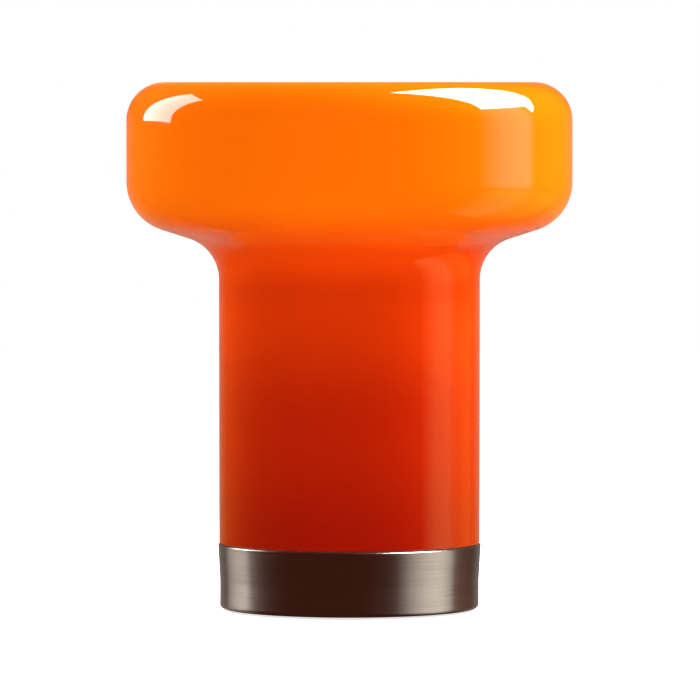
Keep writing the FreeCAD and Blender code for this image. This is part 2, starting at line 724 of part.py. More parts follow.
pieces = {
    "glass_shade": make_glass_shade(),
    "base_ring": make_base_ring(),
    "base_plate": make_base_plate(),
    "ballast_weight": make_weight(),
    "deck_plate": make_deck(),
    "base_screws": make_base_screws(),
    "deck_screws": make_deck_screws(),
    "lip_screws": make_lip_screws(),
    "glass_seat": make_seat(),
    "stem_tube": make_stem_tube(),
    "stem_washer": make_stem_washer(),
    "stem_nut": make_stem_nut(),
    "stem_sleeve": make_stem_sleeve(),
    "holder_cap": make_holder_cap(),
    "holder_grub_screw": grub_screw(),
    "holder_insert": make_holder_insert(),
    "terminal_screws": make_terminal_screws(),
    "centre_contact": make_centre_contact(),
    "screw_shell": make_screw_shell(),
    "holder_sleeve": make_holder_sleeve(),
    "bulb_contact": make_bulb_contact(),
    "bulb_insulator": make_bulb_insulator(),
    "bulb_cap": make_bulb_cap(),
    "bulb_glass": make_bulb_glass(),
    "cord_bush": make_cord_bush(),
    "bush_nut": make_bush_nut(),
}
for group, copies in {
    "rubber_foot": make_rubber_feet(),
    "deck_spacer": make_spacers(),
    "glass_spring": make_springs(),
}.items():
    for number, copy in enumerate(copies, 1):
        pieces[f"{group}_{number}"] = copy

os.makedirs("parts", exist_ok=True)
for name, shape in pieces.items():
    shape.exportStep(f"parts/{name}.step")
    print(f"{name}: {len(shape.Solids)} solid(s), {shape.Volume / 1000:.2f} cm3, valid {shape.isValid()}")
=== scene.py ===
"""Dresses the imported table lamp: cased glass, brushed ring, fittings, studio light and camera."""

import math

import bmesh
import bpy
from bpy.props import FloatProperty, FloatVectorProperty, IntProperty, PointerProperty
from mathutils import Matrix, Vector


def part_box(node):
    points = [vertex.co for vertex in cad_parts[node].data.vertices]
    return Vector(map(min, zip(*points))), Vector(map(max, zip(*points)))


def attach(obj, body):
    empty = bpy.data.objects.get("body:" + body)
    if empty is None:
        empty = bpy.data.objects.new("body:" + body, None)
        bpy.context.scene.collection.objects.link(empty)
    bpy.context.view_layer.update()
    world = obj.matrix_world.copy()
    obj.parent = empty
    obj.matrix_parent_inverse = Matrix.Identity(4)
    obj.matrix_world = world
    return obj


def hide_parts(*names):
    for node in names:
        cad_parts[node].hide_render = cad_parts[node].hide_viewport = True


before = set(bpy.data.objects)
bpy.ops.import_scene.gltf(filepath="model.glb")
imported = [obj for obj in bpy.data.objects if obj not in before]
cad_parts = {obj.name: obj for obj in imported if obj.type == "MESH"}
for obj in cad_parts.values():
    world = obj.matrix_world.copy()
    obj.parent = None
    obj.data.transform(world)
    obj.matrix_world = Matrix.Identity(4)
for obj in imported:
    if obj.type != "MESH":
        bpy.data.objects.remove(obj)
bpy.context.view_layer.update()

bl_info = {
    "name": "Table lamp dressing",
    "version": (1, 0, 0),
    "blender": (4, 5, 0),
    "location": "View3D > Sidebar > Lamp",
    "description": "Gives the packed table lamp its glass, metals, fittings and studio",
    "category": "Object",
}

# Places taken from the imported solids
GLASS_LOW, GLASS_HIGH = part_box("glass_shade")
SLEEVE_LOW, SLEEVE_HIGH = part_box("holder_sleeve")

# Socket numbers of the Mix node when it blends colours
MIX_FACTOR, MIX_A, MIX_B, MIX_RESULT = 0, 6, 7, 2

MM = 0.001
WHITE = (1.0, 1.0, 1.0, 1.0)


def linear(code):
    """An sRGB hex colour as linear red, green and blue."""
    parts = [int(code[i:i + 2], 16) / 255 for i in (1, 3, 5)]
    return tuple(p / 12.92 if p <= 0.04045 else ((p + 0.055) / 1.055) ** 2.4 for p in parts)


def opaque(colour):
    """A colour with full alpha, as colour sockets take it."""
    return (*colour, 1.0)


def put(tree, kind, inputs=None, **settings):
    """Adds one node, sets its properties, and links or fills its inputs."""
    node = tree.nodes.new(kind)
    for name, value in settings.items():
        setattr(node, name, value)
    for key, value in (inputs or {}).items():
        if isinstance(value, bpy.types.NodeSocket):
            tree.links.new(value, node.inputs[key])
        else:
            node.inputs[key].default_value = value
    return node


def start_material(name):
    """A new material, its empty tree and its Object coordinates."""
    material = bpy.data.materials.new(name)
    material.use_nodes = True
    tree = material.node_tree
    tree.nodes.clear()
    place = put(tree, "ShaderNodeTexCoord").outputs["Object"]
    return material, tree, place


def end_material(material, sockets):
    """Closes a material with one Principled shader that has these sockets."""
    tree = material.node_tree
    shader = put(tree, "ShaderNodeBsdfPrincipled", sockets)
    put(tree, "ShaderNodeOutputMaterial", {"Surface": shader.outputs["BSDF"]})
    return material


# Sizes and colours

def length(name, description, default):
    """A length in metres."""
    return FloatProperty(
        name=name, description=description, default=default, unit="LENGTH", precision=4
    )


def tone(name, description, code):
    """A colour given as sRGB hex."""
    return FloatVectorProperty(
        name=name, description=description, default=linear(code),
        subtype="COLOR", size=3, min=0, max=1,
    )


def level(name, description, default):
    """A plain factor."""
    return FloatProperty(name=name, description=description, default=default, min=0)


class GlassSettings(bpy.types.PropertyGroup):
    """The blown shade."""

    head_radius: length("Head radius", "Half the width of the head", GLASS_HIGH.x)
    neck_radius: length("Neck radius", "Half the width of the neck", 64 * MM)
    wall: length("Wall", "Thickness of both layers of glass", 4.2 * MM)
    top: length("Top", "Height of the flat top", GLASS_HIGH.z)
    rim: length("Rim", "Height of the lower rim", GLASS_LOW.z)
    side_foot: length("Side foot", "Where the head's straight side ends", 210.2 * MM)
    shoulder_curve: length("Shoulder curve", "Rounds the head's upper edge", 18.8 * MM)
    underside_curve: length("Underside curve", "Rounds the head's lower edge", 24.6 * MM)
    throat_curve: length("Throat curve", "Rounds the hollow between head and neck", 21.1 * MM)
    rim_curve: length("Rim curve", "Rounds the fire-polished rim", 0.8 * MM)
    slope: FloatProperty(
        name="Slope", description="Fall of the head's underside", default=math.radians(17.9),
        subtype="ANGLE",
    )
    segments: IntProperty(name="Segments", description="Faces round the glass", default=288, min=32)
    curve_steps: IntProperty(
        name="Curve steps", description="Points added on each rounded corner", default=16
    )
    longest_edge: length("Longest edge", "Straight runs are divided to about this", 6 * MM)
    # The glass's orange with painted light and shade: lightest on the head, darker down the neck,
    # darkest by the ring
    head_colour: tone("Head colour", "The colour layer blown thin over the head", "#f86b01")
    throat_colour: tone("Throat colour", "The colour layer in the hollow", "#ed4102")
    collar_colour: tone("Collar colour", "The colour layer at the top of the neck", "#cd3102")
    neck_colour: tone("Neck colour", "The colour layer low on the neck", "#ad1b02")
    foot_colour: tone("Foot colour", "The colour layer at its thickest, by the ring", "#960f02")
    lining_colour: tone("Lining colour", "The opal layer inside", "#f2efe6")


class MetalSettings(bpy.types.PropertyGroup):
    """The metals and what they are brushed or plated with."""

    ring_colour: tone("Ring colour", "Brushed foot ring", "#c9bfb3")
    ring_shade: tone("Ring shade", "The darker brush lines", "#a89c8f")
    zinc_colour: tone("Zinc colour", "Bright zinc plate", "#c3c8cc")
    nickel_colour: tone("Nickel colour", "Satin nickel plate", "#d0cac0")
    brass_colour: tone("Brass colour", "Stamped brass contacts", "#d9b56a")
    spring_colour: tone("Spring colour", "Bare spring strip", "#b6b9bd")
    iron_colour: tone("Iron colour", "Blackened cast iron", "#3a3a3c")


class FittingSettings(bpy.types.PropertyGroup):
    """The lampholder, the bulb and the small fittings."""

    ribs: IntProperty(name="Ribs", description="Grip ribs round the lampholder", default=40, min=6)
    rib_width: length("Rib width", "Across one grip rib", 1.6 * MM)
    rib_proud: length("Rib proud", "How far a grip rib stands out", 0.5 * MM)
    phenolic_colour: tone("Phenolic colour", "Moulded lampholder", "#1d1b1a")
    porcelain_colour: tone("Porcelain colour", "Glazed insert", "#d8d5cd")
    enamel_colour: tone("Enamel colour", "Powder-coated deck", "#c9c6bf")
    silicone_colour: tone("Silicone colour", "Seat under the glass", "#d9d6cf")
    bulb_colour: tone("Bulb colour", "Opal bulb", "#d9d6cf")
    rubber_colour: tone("Rubber colour", "Feet", "#262627")
    nylon_colour: tone("Nylon colour", "Cord bush", "#2b2b2d")


class StageSettings(bpy.types.PropertyGroup):
    """The studio."""

    lens: FloatProperty(name="Lens", description="Focal length in millimetres", default=325.1, min=1)
    camera_back: length("Camera back", "Distance from the lamp's axis to the camera", 3.1)
    camera_height: length("Camera height", "Height of the camera", 0.259)
    camera_right: length("Camera right", "How far the camera stands right of the axis", 0.27 * MM)
    aim_height: length("Aim height", "Height on the axis that the camera looks at", 0.1276)
    floor_radius: length("Floor radius", "Half the width of the floor", 3.0)
    floor_colour: tone("Floor colour", "Pale studio paper", "#cfcdca")
    floor_lift: level("Floor lift", "Light added to the floor for the camera alone", 0.75)
    room_colour: tone("Room colour", "The dim room that polished surfaces show", "#4b271e")
    backdrop_glint: level("Backdrop glint", "How bright polish shows the backdrop", 0.25)
    room_light: level("Room light", "Even light from all round", 0.63)
    key_light: level("Key light", "Power of the soft light on the right, in watts", 14.5)
    top_light: level("Top light", "Power of the soft light overhead, in watts", 4.7)
    left_light: level("Left light", "Power of the soft light on the left, in watts", 6.25)
    front_light: level("Front light", "Power of the fill in front, in watts", 8.5)


GROUPS = {
    "lamp_glass": GlassSettings, "lamp_metal": MetalSettings,
    "lamp_fittings": FittingSettings, "lamp_stage": StageSettings,
}


# Finishes

def cased_glass(glass):
    """Blown glass in two layers, orange over opal; the orange carries painted light and shade, lightest
    on the head and deeper down the neck.
    """
    material, tree, place = start_material("Blown cased glass, fire-polished orange over opal")
    # Where the colour stops fall drifts over about 60 mm, by a few millimetres up and down
    drift = put(tree, "ShaderNodeTexNoise", {
        "Vector": place, "Scale": 1 / (60 * MM), "Detail": 1.0,
    }).outputs["Fac"]
    height = put(tree, "ShaderNodeSeparateXYZ", {"Vector": place}).outputs["Z"]
    shift = put(tree, "ShaderNodeMapRange", {
        "Value": drift, "To Min": -4 * MM, "To Max": 4 * MM,
    }).outputs["Result"]
    height = put(tree, "ShaderNodeMath", {0: height, 1: shift}, operation="ADD").outputs["Value"]
    share = put(
        tree, "ShaderNodeMapRange", {"Value": height, "From Min": glass.rim, "From Max": glass.top}
    ).outputs["Result"]
    # Painted light and shade: the orange is lightest on the head and grows deeper down the neck toward
    # the foot, where less light reaches
    painted_shade_ramp = put(tree, "ShaderNodeValToRGB", {"Fac": share})
    painted_shade_ramp.color_ramp.interpolation = "EASE"
    painted_shade_stops = (
        (0.0, glass.foot_colour), (0.27, glass.neck_colour), (0.54, glass.collar_colour),
        (0.63, glass.throat_colour), (0.745, glass.head_colour),
    )
    while len(painted_shade_ramp.color_ramp.elements) < len(painted_shade_stops):
        painted_shade_ramp.color_ramp.elements.new(1.0)
    for stop, (position, colour) in zip(painted_shade_ramp.color_ramp.elements, painted_shade_stops):
        stop.position = position
        stop.color = opaque(colour)
    # Blown glass is never quite true: soft waves, about 45 mm apart, bend its reflections a little
    waves = put(tree, "ShaderNodeTexNoise", {
        "Vector": place, "Scale": 1 / (45 * MM), "Detail": 0.0,
    }).outputs["Fac"]
    normal = put(
        tree, "ShaderNodeBump", {"Strength": 0.05, "Distance": 0.4 * MM, "Height": waves}
    ).outputs["Normal"]
    # The clear outer skin scatters light along itself, seen as a warm bloom at grazing angles
    return end_material(material, {
        "Base Color": painted_shade_ramp.outputs["Color"], "Roughness": 0.04, "IOR": 1.52, "Normal": normal,
        "Sheen Weight": 0.41, "Sheen Roughness": 0.45, "Sheen Tint": opaque(linear("#ff8a2a")),
    })


def opal_lining(glass):
    """The opal layer inside: milky white, glossy, with faint cords of thicker glass."""
    material, tree, place = start_material("Blown opal glass, lining")
    cords = put(tree, "ShaderNodeTexNoise", {
        "Vector": place, "Scale": 1 / (25 * MM), "Detail": 2.0,
    }).outputs["Fac"]
    colour = put(tree, "ShaderNodeMix", {
        MIX_FACTOR: cords,
        MIX_A: opaque(glass.lining_colour), MIX_B: opaque(linear("#fbe9d8")),
    }, data_type="RGBA").outputs[MIX_RESULT]
    return end_material(material, {"Base Color": colour, "Roughness": 0.12, "IOR": 1.52})


def brushed_ring(metal):
    """Stainless steel brushed while it turns: fine level lines draw reflections out up and down."""
    material, tree, place = start_material("Stainless steel, brushed round its axis")
    # Real lines are about 0.1 mm apart; they are drawn 0.4 mm apart so that they show
    stretch = put(tree, "ShaderNodeMapping", {
        "Vector": place, "Scale": (1 / (33 * MM), 1 / (33 * MM), 1 / (0.4 * MM)),
    }).outputs["Vector"]
    lines = put(tree, "ShaderNodeTexNoise", {
        "Vector": stretch, "Scale": 1.0, "Detail": 3.0,
    }).outputs["Fac"]
    colour = put(tree, "ShaderNodeMix", {
        MIX_FACTOR: lines,
        MIX_A: opaque(metal.ring_shade), MIX_B: opaque(metal.ring_colour),
    }, data_type="RGBA").outputs[MIX_RESULT]
    rough = put(tree, "ShaderNodeMapRange", {
        "Value": lines, "To Min": 0.24, "To Max": 0.36,
    }).outputs["Result"]
    normal = put(tree, "ShaderNodeBump", {
        "Strength": 0.25, "Distance": 0.03 * MM, "Height": lines,
    }).outputs["Normal"]
    around = put(tree, "ShaderNodeTangent", direction_type="RADIAL", axis="Z").outputs["Tangent"]
    return end_material(material, {
        "Base Color": colour, "Metallic": 1.0, "Roughness": rough, "Normal": normal,
        "Anisotropic": 0.8, "Anisotropic Rotation": 0.25, "Tangent": around,
    })


def zinc_plate(metal):
    """Bright zinc plate: cool grey with a faint cloudy bloom from the passivating bath."""
    material, tree, place = start_material("Mild steel, bright zinc plated")
    bloom = put(tree, "ShaderNodeTexNoise", {
        "Vector": place, "Scale": 1 / (9 * MM), "Detail": 4.0,
    }).outputs["Fac"]
    colour = put(tree, "ShaderNodeMix", {
        MIX_FACTOR: bloom,
        MIX_A: opaque(metal.zinc_colour), MIX_B: opaque(linear("#a9a8b4")),
    }, data_type="RGBA").outputs[MIX_RESULT]
    rough = put(tree, "ShaderNodeMapRange", {
        "Value": bloom, "To Min": 0.22, "To Max": 0.45,
    }).outputs["Result"]
    return end_material(material, {"Base Color": colour, "Metallic": 1.0, "Roughness": rough})


def cast_iron(metal):
    """Sand-cast iron, blackened: a grainy skin that takes little light."""
    material, tree, place = start_material("Grey iron, sand-cast and blackened")
    grains = put(tree, "ShaderNodeTexNoise", {
        "Vector": place, "Scale": 1 / (0.9 * MM), "Detail": 5.0,
    }).outputs["Fac"]
    colour = put(tree, "ShaderNodeMix", {
        MIX_FACTOR: grains,
        MIX_A: opaque(linear("#262627")), MIX_B: opaque(metal.iron_colour),
    }, data_type="RGBA").outputs[MIX_RESULT]
    normal = put(tree, "ShaderNodeBump", {
        "Strength": 0.6, "Distance": 0.25 * MM, "Height": grains,
    }).outputs["Normal"]
    return end_material(material, {
        "Base Color": colour, "Metallic": 0.6, "Roughness": 0.7, "Normal": normal,
    })


def powder_coat(fittings):
    """White powder coat on steel: a soft orange-peel surface with half gloss."""
    material, tree, place = start_material("Steel sheet, white powder coat")
    peel = put(tree, "ShaderNodeTexNoise", {
        "Vector": place, "Scale": 1 / (1.6 * MM), "Detail": 1.0,
    }).outputs["Fac"]
    normal = put(tree, "ShaderNodeBump", {
        "Strength": 0.3, "Distance": 0.08 * MM, "Height": peel,
    }).outputs["Normal"]
    colour = put(tree, "ShaderNodeMix", {
        MIX_FACTOR: peel,
        MIX_A: opaque(fittings.enamel_colour), MIX_B: opaque(linear("#bfbcb4")),
    }, data_type="RGBA").outputs[MIX_RESULT]
    return end_material(material, {
        "Base Color": colour, "Roughness": 0.38, "IOR": 1.5, "Normal": normal,
    })


def silicone(fittings):
    """Moulded silicone: milky, a little see-through at its edges, with a dry sheen."""
    material, tree, place = start_material("Silicone rubber, moulded milky")
    cloud = put(tree, "ShaderNodeTexNoise", {
        "Vector": place, "Scale": 1 / (6 * MM), "Detail": 2.0,
    }).outputs["Fac"]
    colour = put(tree, "ShaderNodeMix", {
        MIX_FACTOR: cloud,
        MIX_A: opaque(fittings.silicone_colour), MIX_B: opaque(linear("#c9c5bc")),
    }, data_type="RGBA").outputs[MIX_RESULT]
    return end_material(material, {
        "Base Color": colour, "Roughness": 0.5, "IOR": 1.41,
        "Subsurface Weight": 0.3, "Subsurface Scale": 2 * MM,
    })


def satin_nickel(metal):
    """Satin nickel on a drawn tube: fine lines along its length blur the reflections sideways."""
    material, tree, place = start_material("Steel tube, satin nickel plated")
    # Real lines are about 0.05 mm apart; they are drawn 0.3 mm apart so that they show
    stretch = put(tree, "ShaderNodeMapping", {
        "Vector": place, "Scale": (1 / (0.3 * MM), 1 / (0.3 * MM), 1 / (40 * MM)),
    }).outputs["Vector"]
    lines = put(tree, "ShaderNodeTexNoise", {
        "Vector": stretch, "Scale": 1.0, "Detail": 2.0,
    }).outputs["Fac"]
    colour = put(tree, "ShaderNodeMix", {
        MIX_FACTOR: lines,
        MIX_A: opaque(linear("#b5aea3")), MIX_B: opaque(metal.nickel_colour),
    }, data_type="RGBA").outputs[MIX_RESULT]
    rough = put(tree, "ShaderNodeMapRange", {
        "Value": lines, "To Min": 0.25, "To Max": 0.4,
    }).outputs["Result"]
    return end_material(material, {"Base Color": colour, "Metallic": 1.0, "Roughness": rough})


def phenolic(fittings):
    """Moulded phenolic: brown-black, half gloss, with the faint clouding of its filler."""
    material, tree, place = start_material("Phenolic resin, moulded half gloss")
    filler = put(tree, "ShaderNodeTexNoise", {
        "Vector": place, "Scale": 1 / (2.5 * MM), "Detail": 4.0,
    }).outputs["Fac"]
    colour = put(tree, "ShaderNodeMix", {
        MIX_FACTOR: filler,
        MIX_A: opaque(fittings.phenolic_colour), MIX_B: opaque(linear("#2a2422")),
    }, data_type="RGBA").outputs[MIX_RESULT]
    rough = put(tree, "ShaderNodeMapRange", {
        "Value": filler, "To Min": 0.28, "To Max": 0.42,
    }).outputs["Result"]
    return end_material(material, {"Base Color": colour, "Roughness": rough, "IOR": 1.6})


def porcelain(fittings):
    """Glazed porcelain: warm white under a wet gloss, with a few fired specks."""
    material, tree, place = start_material("Porcelain, pressed and glazed")
    specks = put(tree, "ShaderNodeTexVoronoi", {"Vector": place, "Scale": 1 / (3.5 * MM)})
    dots = put(tree, "ShaderNodeMapRange", {
        "Value": specks.outputs["Distance"], "From Min": 0.05, "From Max": 0.09,
    }).outputs["Result"]
    colour = put(tree, "ShaderNodeMix", {
        MIX_FACTOR: dots,
        MIX_A: opaque(linear("#c9b9a0")), MIX_B: opaque(fittings.porcelain_colour),
    }, data_type="RGBA").outputs[MIX_RESULT]
    return end_material(material, {"Base Color": colour, "Roughness": 0.1, "IOR": 1.5})


def stamped_brass(metal):
    """Stamped brass: yellow metal with the rolling lines of its strip and a light tarnish."""
    material, tree, place = start_material("Brass strip, stamped")
    tarnish = put(tree, "ShaderNodeTexNoise", {
        "Vector": place, "Scale": 1 / (5 * MM), "Detail": 4.0,
    }).outputs["Fac"]
    colour = put(tree, "ShaderNodeMix", {
        MIX_FACTOR: tarnish,
        MIX_A: opaque(linear("#b78f49")), MIX_B: opaque(metal.brass_colour),
    }, data_type="RGBA").outputs[MIX_RESULT]
    rough = put(tree, "ShaderNodeMapRange", {
        "Value": tarnish, "To Min": 0.18, "To Max": 0.4,
    }).outputs["Result"]
    return end_material(material, {"Base Color": colour, "Metallic": 1.0, "Roughness": rough})


def rolled_aluminium():
    """Rolled aluminium: pale metal with soft level drawing marks round the bulb's cap."""
    material, tree, place = start_material("Aluminium, rolled bright")
    stretch = put(tree, "ShaderNodeMapping", {
        "Vector": place, "Scale": (1 / (12 * MM), 1 / (12 * MM), 1 / (0.35 * MM)),
    }).outputs["Vector"]
    marks = put(tree, "ShaderNodeTexNoise", {
        "Vector": stretch, "Scale": 1.0, "Detail": 2.0,
    }).outputs["Fac"]
    colour = put(tree, "ShaderNodeMix", {
        MIX_FACTOR: marks,
        MIX_A: opaque(linear("#c6c7c8")), MIX_B: opaque(linear("#e2e2e1")),
    }, data_type="RGBA").outputs[MIX_RESULT]
    rough = put(tree, "ShaderNodeMapRange", {
        "Value": marks, "To Min": 0.2, "To Max": 0.36,
    }).outputs["Result"]
    return end_material(material, {"Base Color": colour, "Metallic": 1.0, "Roughness": rough})


def black_vitrite():
    """Fused black glass in the bulb's cap: a deep gloss with small pits."""
    material, tree, place = start_material("Black glass, fused")
    pits = put(tree, "ShaderNodeTexNoise", {
        "Vector": place, "Scale": 1 / (1.2 * MM), "Detail": 3.0,
    }).outputs["Fac"]
    colour = put(tree, "ShaderNodeMix", {
        MIX_FACTOR: pits,
        MIX_A: opaque(linear("#121214")), MIX_B: opaque(linear("#232326")),
    }, data_type="RGBA").outputs[MIX_RESULT]
    normal = put(tree, "ShaderNodeBump", {
        "Strength": 0.3, "Distance": 0.1 * MM, "Height": pits,
    }).outputs["Normal"]
    return end_material(material, {
        "Base Color": colour, "Roughness": 0.18, "IOR": 1.55, "Normal": normal,
    })


def opal_bulb(fittings):
    """Opal bulb glass: a soft white coat inside the glass that lets light spread through it."""
    material, tree, place = start_material("Opal glass, blown satin")
    coat = put(tree, "ShaderNodeTexNoise", {
        "Vector": place, "Scale": 1 / (14 * MM), "Detail": 3.0,
    }).outputs["Fac"]
    colour = put(tree, "ShaderNodeMix", {
        MIX_FACTOR: coat,
        MIX_A: opaque(fittings.bulb_colour), MIX_B: opaque(linear("#cfcbc2")),
    }, data_type="RGBA").outputs[MIX_RESULT]
    return end_material(material, {
        "Base Color": colour, "Roughness": 0.22, "IOR": 1.5,
        "Subsurface Weight": 0.35, "Subsurface Scale": 4 * MM,
    })


def moulded_grain(name, colour, hollow, grain, rough):
    """Black nylon and rubber: a matt moulded skin with a fine spark-eroded grain."""
    material, tree, place = start_material(name)
    bumps = put(tree, "ShaderNodeTexNoise", {
        "Vector": place, "Scale": 1 / grain, "Detail": 3.0,
    }).outputs["Fac"]
    mixed = put(tree, "ShaderNodeMix", {
        MIX_FACTOR: bumps,
        MIX_A: opaque(colour), MIX_B: opaque(linear(hollow)),
    }, data_type="RGBA").outputs[MIX_RESULT]
    normal = put(tree, "ShaderNodeBump", {
        "Strength": 0.35, "Distance": 0.06 * MM, "Height": bumps,
    }).outputs["Normal"]
    return end_material(material, {
        "Base Color": mixed, "Roughness": rough, "IOR": 1.52, "Normal": normal,
    })


def spring_strip(metal):
    """Bare spring steel strip: straw-grey from tempering, with lines along the strip."""
    material, tree, place = start_material("Spring steel strip, rolled and tempered")
    stretch = put(tree, "ShaderNodeMapping", {
        "Vector": place, "Scale": (1 / (0.4 * MM), 1 / (0.4 * MM), 1 / (20 * MM)),
    }).outputs["Vector"]
    lines = put(tree, "ShaderNodeTexNoise", {
        "Vector": stretch, "Scale": 1.0, "Detail": 2.0,
    }).outputs["Fac"]
    colour = put(tree, "ShaderNodeMix", {
        MIX_FACTOR: lines,
        MIX_A: opaque(linear("#8f8a80")), MIX_B: opaque(metal.spring_colour),
    }, data_type="RGBA").outputs[MIX_RESULT]
    rough = put(tree, "ShaderNodeMapRange", {
        "Value": lines, "To Min": 0.25, "To Max": 0.42,
    }).outputs["Result"]
    return end_material(material, {"Base Color": colour, "Metallic": 1.0, "Roughness": rough})


def studio_paper(stage):
    """Pale studio paper: matt, and lifted to white for the camera, with the lamp's shadow kept."""
    material, tree, place = start_material("Studio paper, matt white")
    fibre = put(tree, "ShaderNodeTexNoise", {
        "Vector": place, "Scale": 1 / (4 * MM), "Detail": 3.0,
    }).outputs["Fac"]
    colour = put(tree, "ShaderNodeMix", {
        MIX_FACTOR: fibre,
        MIX_A: opaque(stage.floor_colour), MIX_B: opaque(linear("#c9c7c3")),
    }, data_type="RGBA").outputs[MIX_RESULT]
    seen = put(tree, "ShaderNodeLightPath").outputs["Is Camera Ray"]
    lift = put(tree, "ShaderNodeMath", {
        0: seen, 1: stage.floor_lift,
    }, operation="MULTIPLY").outputs["Value"]
    return end_material(material, {
        "Base Color": colour, "Roughness": 0.9, "Specular IOR Level": 0.0,
        "Emission Color": WHITE, "Emission Strength": lift,
    })


# Shapes

def shade_section(glass):
    """Corners of the glass wall, down the outside and up the inside.

    Each is (radius, height, rounding, lining), where lining is 1 on the inside.
    """
    slope = glass.slope
    drop = glass.underside_curve * math.tan((math.pi / 2 - slope) / 2)
    walls = []
    for lining in (0.0, 1.0):
        inset = glass.wall * lining
        head = glass.head_radius - inset
        neck = glass.neck_radius - inset
        top = glass.top - inset
        corner = glass.side_foot - drop + inset * (1 / math.cos(slope) - math.tan(slope))
        throat = corner - (head - neck) * math.tan(slope)
        walls.append([
            (0.0, top, 0.0, lining),
            (head, top, glass.shoulder_curve - inset, lining),
            (head, corner, glass.underside_curve - inset, lining),
            (neck, throat, glass.throat_curve + inset, lining),
            (neck, glass.rim, glass.rim_curve, lining),
        ])
    outside, inside = walls
    return outside + inside[::-1]


def turned_wall_tree():
    """A tree that rounds the corners of a section and turns it about Z into a closed wall."""
    tree = bpy.data.node_groups.new("turned_wall", "GeometryNodeTree")
    for name, kind in (
        ("Section", "NodeSocketGeometry"), ("Segments", "NodeSocketInt"),
        ("Curve Steps", "NodeSocketInt"), ("Longest Edge", "NodeSocketFloat"),
        ("Outside", "NodeSocketMaterial"), ("Lining", "NodeSocketMaterial"),
    ):
        tree.interface.new_socket(name=name, in_out="INPUT", socket_type=kind)
    tree.interface.new_socket(name="Wall", in_out="OUTPUT", socket_type="NodeSocketGeometry")
    given = put(tree, "NodeGroupInput").outputs
    rounding = put(tree, "GeometryNodeInputNamedAttribute", {"Name": "rounding"}, data_type="FLOAT")
    lining = put(tree, "GeometryNodeInputNamedAttribute", {
        "Name": "lining",
    }, data_type="FLOAT").outputs["Attribute"]
    place = put(tree, "GeometryNodeInputPosition").outputs["Position"]
    index = put(tree, "GeometryNodeInputIndex").outputs["Index"]
    # The section, with round corners and its long runs divided
    line = put(tree, "GeometryNodeMeshToCurve", {"Mesh": given["Section"]}).outputs["Curve"]
    line = put(tree, "GeometryNodeFilletCurve", {
        "Curve": line, "Count": given["Curve Steps"], "Radius": rounding.outputs["Attribute"],
        "Limit Radius": True,
    }, mode="POLY").outputs["Curve"]
    following = put(tree, "ShaderNodeMath", {0: index, 1: 1.0}, operation="ADD").outputs["Value"]
    neighbour = put(tree, "GeometryNodeFieldAtIndex", data_type="FLOAT_VECTOR", domain="POINT")
    tree.links.new(place, neighbour.inputs["Value"])
    tree.links.new(following, neighbour.inputs["Index"])
    run = put(tree, "ShaderNodeVectorMath", {
        0: place, 1: neighbour.outputs["Value"],
    }, operation="DISTANCE")
    cuts = put(tree, "ShaderNodeMath", {
        0: run.outputs["Value"], 1: given["Longest Edge"],
    }, operation="DIVIDE")
    line = put(tree, "GeometryNodeSubdivideCurve", {
        "Curve": line, "Cuts": cuts.outputs["Value"],
    }).outputs["Curve"]
    # A sheet with one row for each point of the section and one column for each step round the axis
    rows = put(tree, "GeometryNodeAttributeDomainSize", {
        "Geometry": line,
    }, component="CURVE").outputs["Point Count"]
    columns = put(tree, "ShaderNodeMath", {
        0: given["Segments"], 1: 1.0,
    }, operation="ADD").outputs["Value"]
    wall = put(tree, "GeometryNodeMeshGrid", {
        "Vertices X": rows, "Vertices Y": columns,
    }).outputs["Mesh"]
    row = put(tree, "ShaderNodeMath", {0: index, 1: columns}, operation="DIVIDE").outputs["Value"]
    row = put(tree, "ShaderNodeMath", {0: row}, operation="FLOOR").outputs["Value"]
    column = put(tree, "ShaderNodeMath", {0: index, 1: columns}, operation="MODULO").outputs["Value"]
    share = put(tree, "ShaderNodeMath", {
        0: column, 1: given["Segments"],
    }, operation="DIVIDE").outputs["Value"]
    angle = put(tree, "ShaderNodeMath", {
        0: share, 1: math.tau,
    }, operation="MULTIPLY").outputs["Value"]
    point = put(tree, "GeometryNodeSampleIndex", data_type="FLOAT_VECTOR", domain="POINT")
    layer = put(tree, "GeometryNodeSampleIndex", data_type="FLOAT", domain="POINT")
    for sample, value in ((point, place), (layer, lining)):
        tree.links.new(line, sample.inputs["Geometry"])
        tree.links.new(value, sample.inputs["Value"])
        tree.links.new(row, sample.inputs["Index"])
    turned = put(tree, "ShaderNodeVectorRotate", {
        "Vector": point.outputs["Value"], "Angle": angle,
    }, rotation_type="Z_AXIS").outputs["Vector"]
    kept = put(tree, "GeometryNodeStoreNamedAttribute", {
        "Geometry": wall, "Name": "lining", "Value": layer.outputs["Value"],
    }, data_type="FLOAT", domain="POINT").outputs["Geometry"]
    wall = put(tree, "GeometryNodeSetPosition", {
        "Geometry": kept, "Position": turned,
    }).outputs["Geometry"]
    # The seam and the two middles close
    wall = put(tree, "GeometryNodeMergeByDistance", {
        "Geometry": wall, "Distance": 0.01 * MM,
    }).outputs["Geometry"]
    wall = put(tree, "GeometryNodeSetShadeSmooth", {"Geometry": wall}).outputs["Geometry"]
    wall = put(tree, "GeometryNodeRealizeInstances", {"Geometry": wall}).outputs["Geometry"]
    wall = put(tree, "GeometryNodeSetMaterial", {
        "Geometry": wall, "Material": given["Outside"],
    }).outputs["Geometry"]
    inner = put(tree, "ShaderNodeMath", {
        0: lining, 1: 0.5,
    }, operation="GREATER_THAN").outputs["Value"]
    wall = put(tree, "GeometryNodeSetMaterial", {
        "Geometry": wall, "Selection": inner, "Material": given["Lining"],
    }).outputs["Geometry"]
    put(tree, "NodeGroupOutput", {"Wall": wall})
    return tree


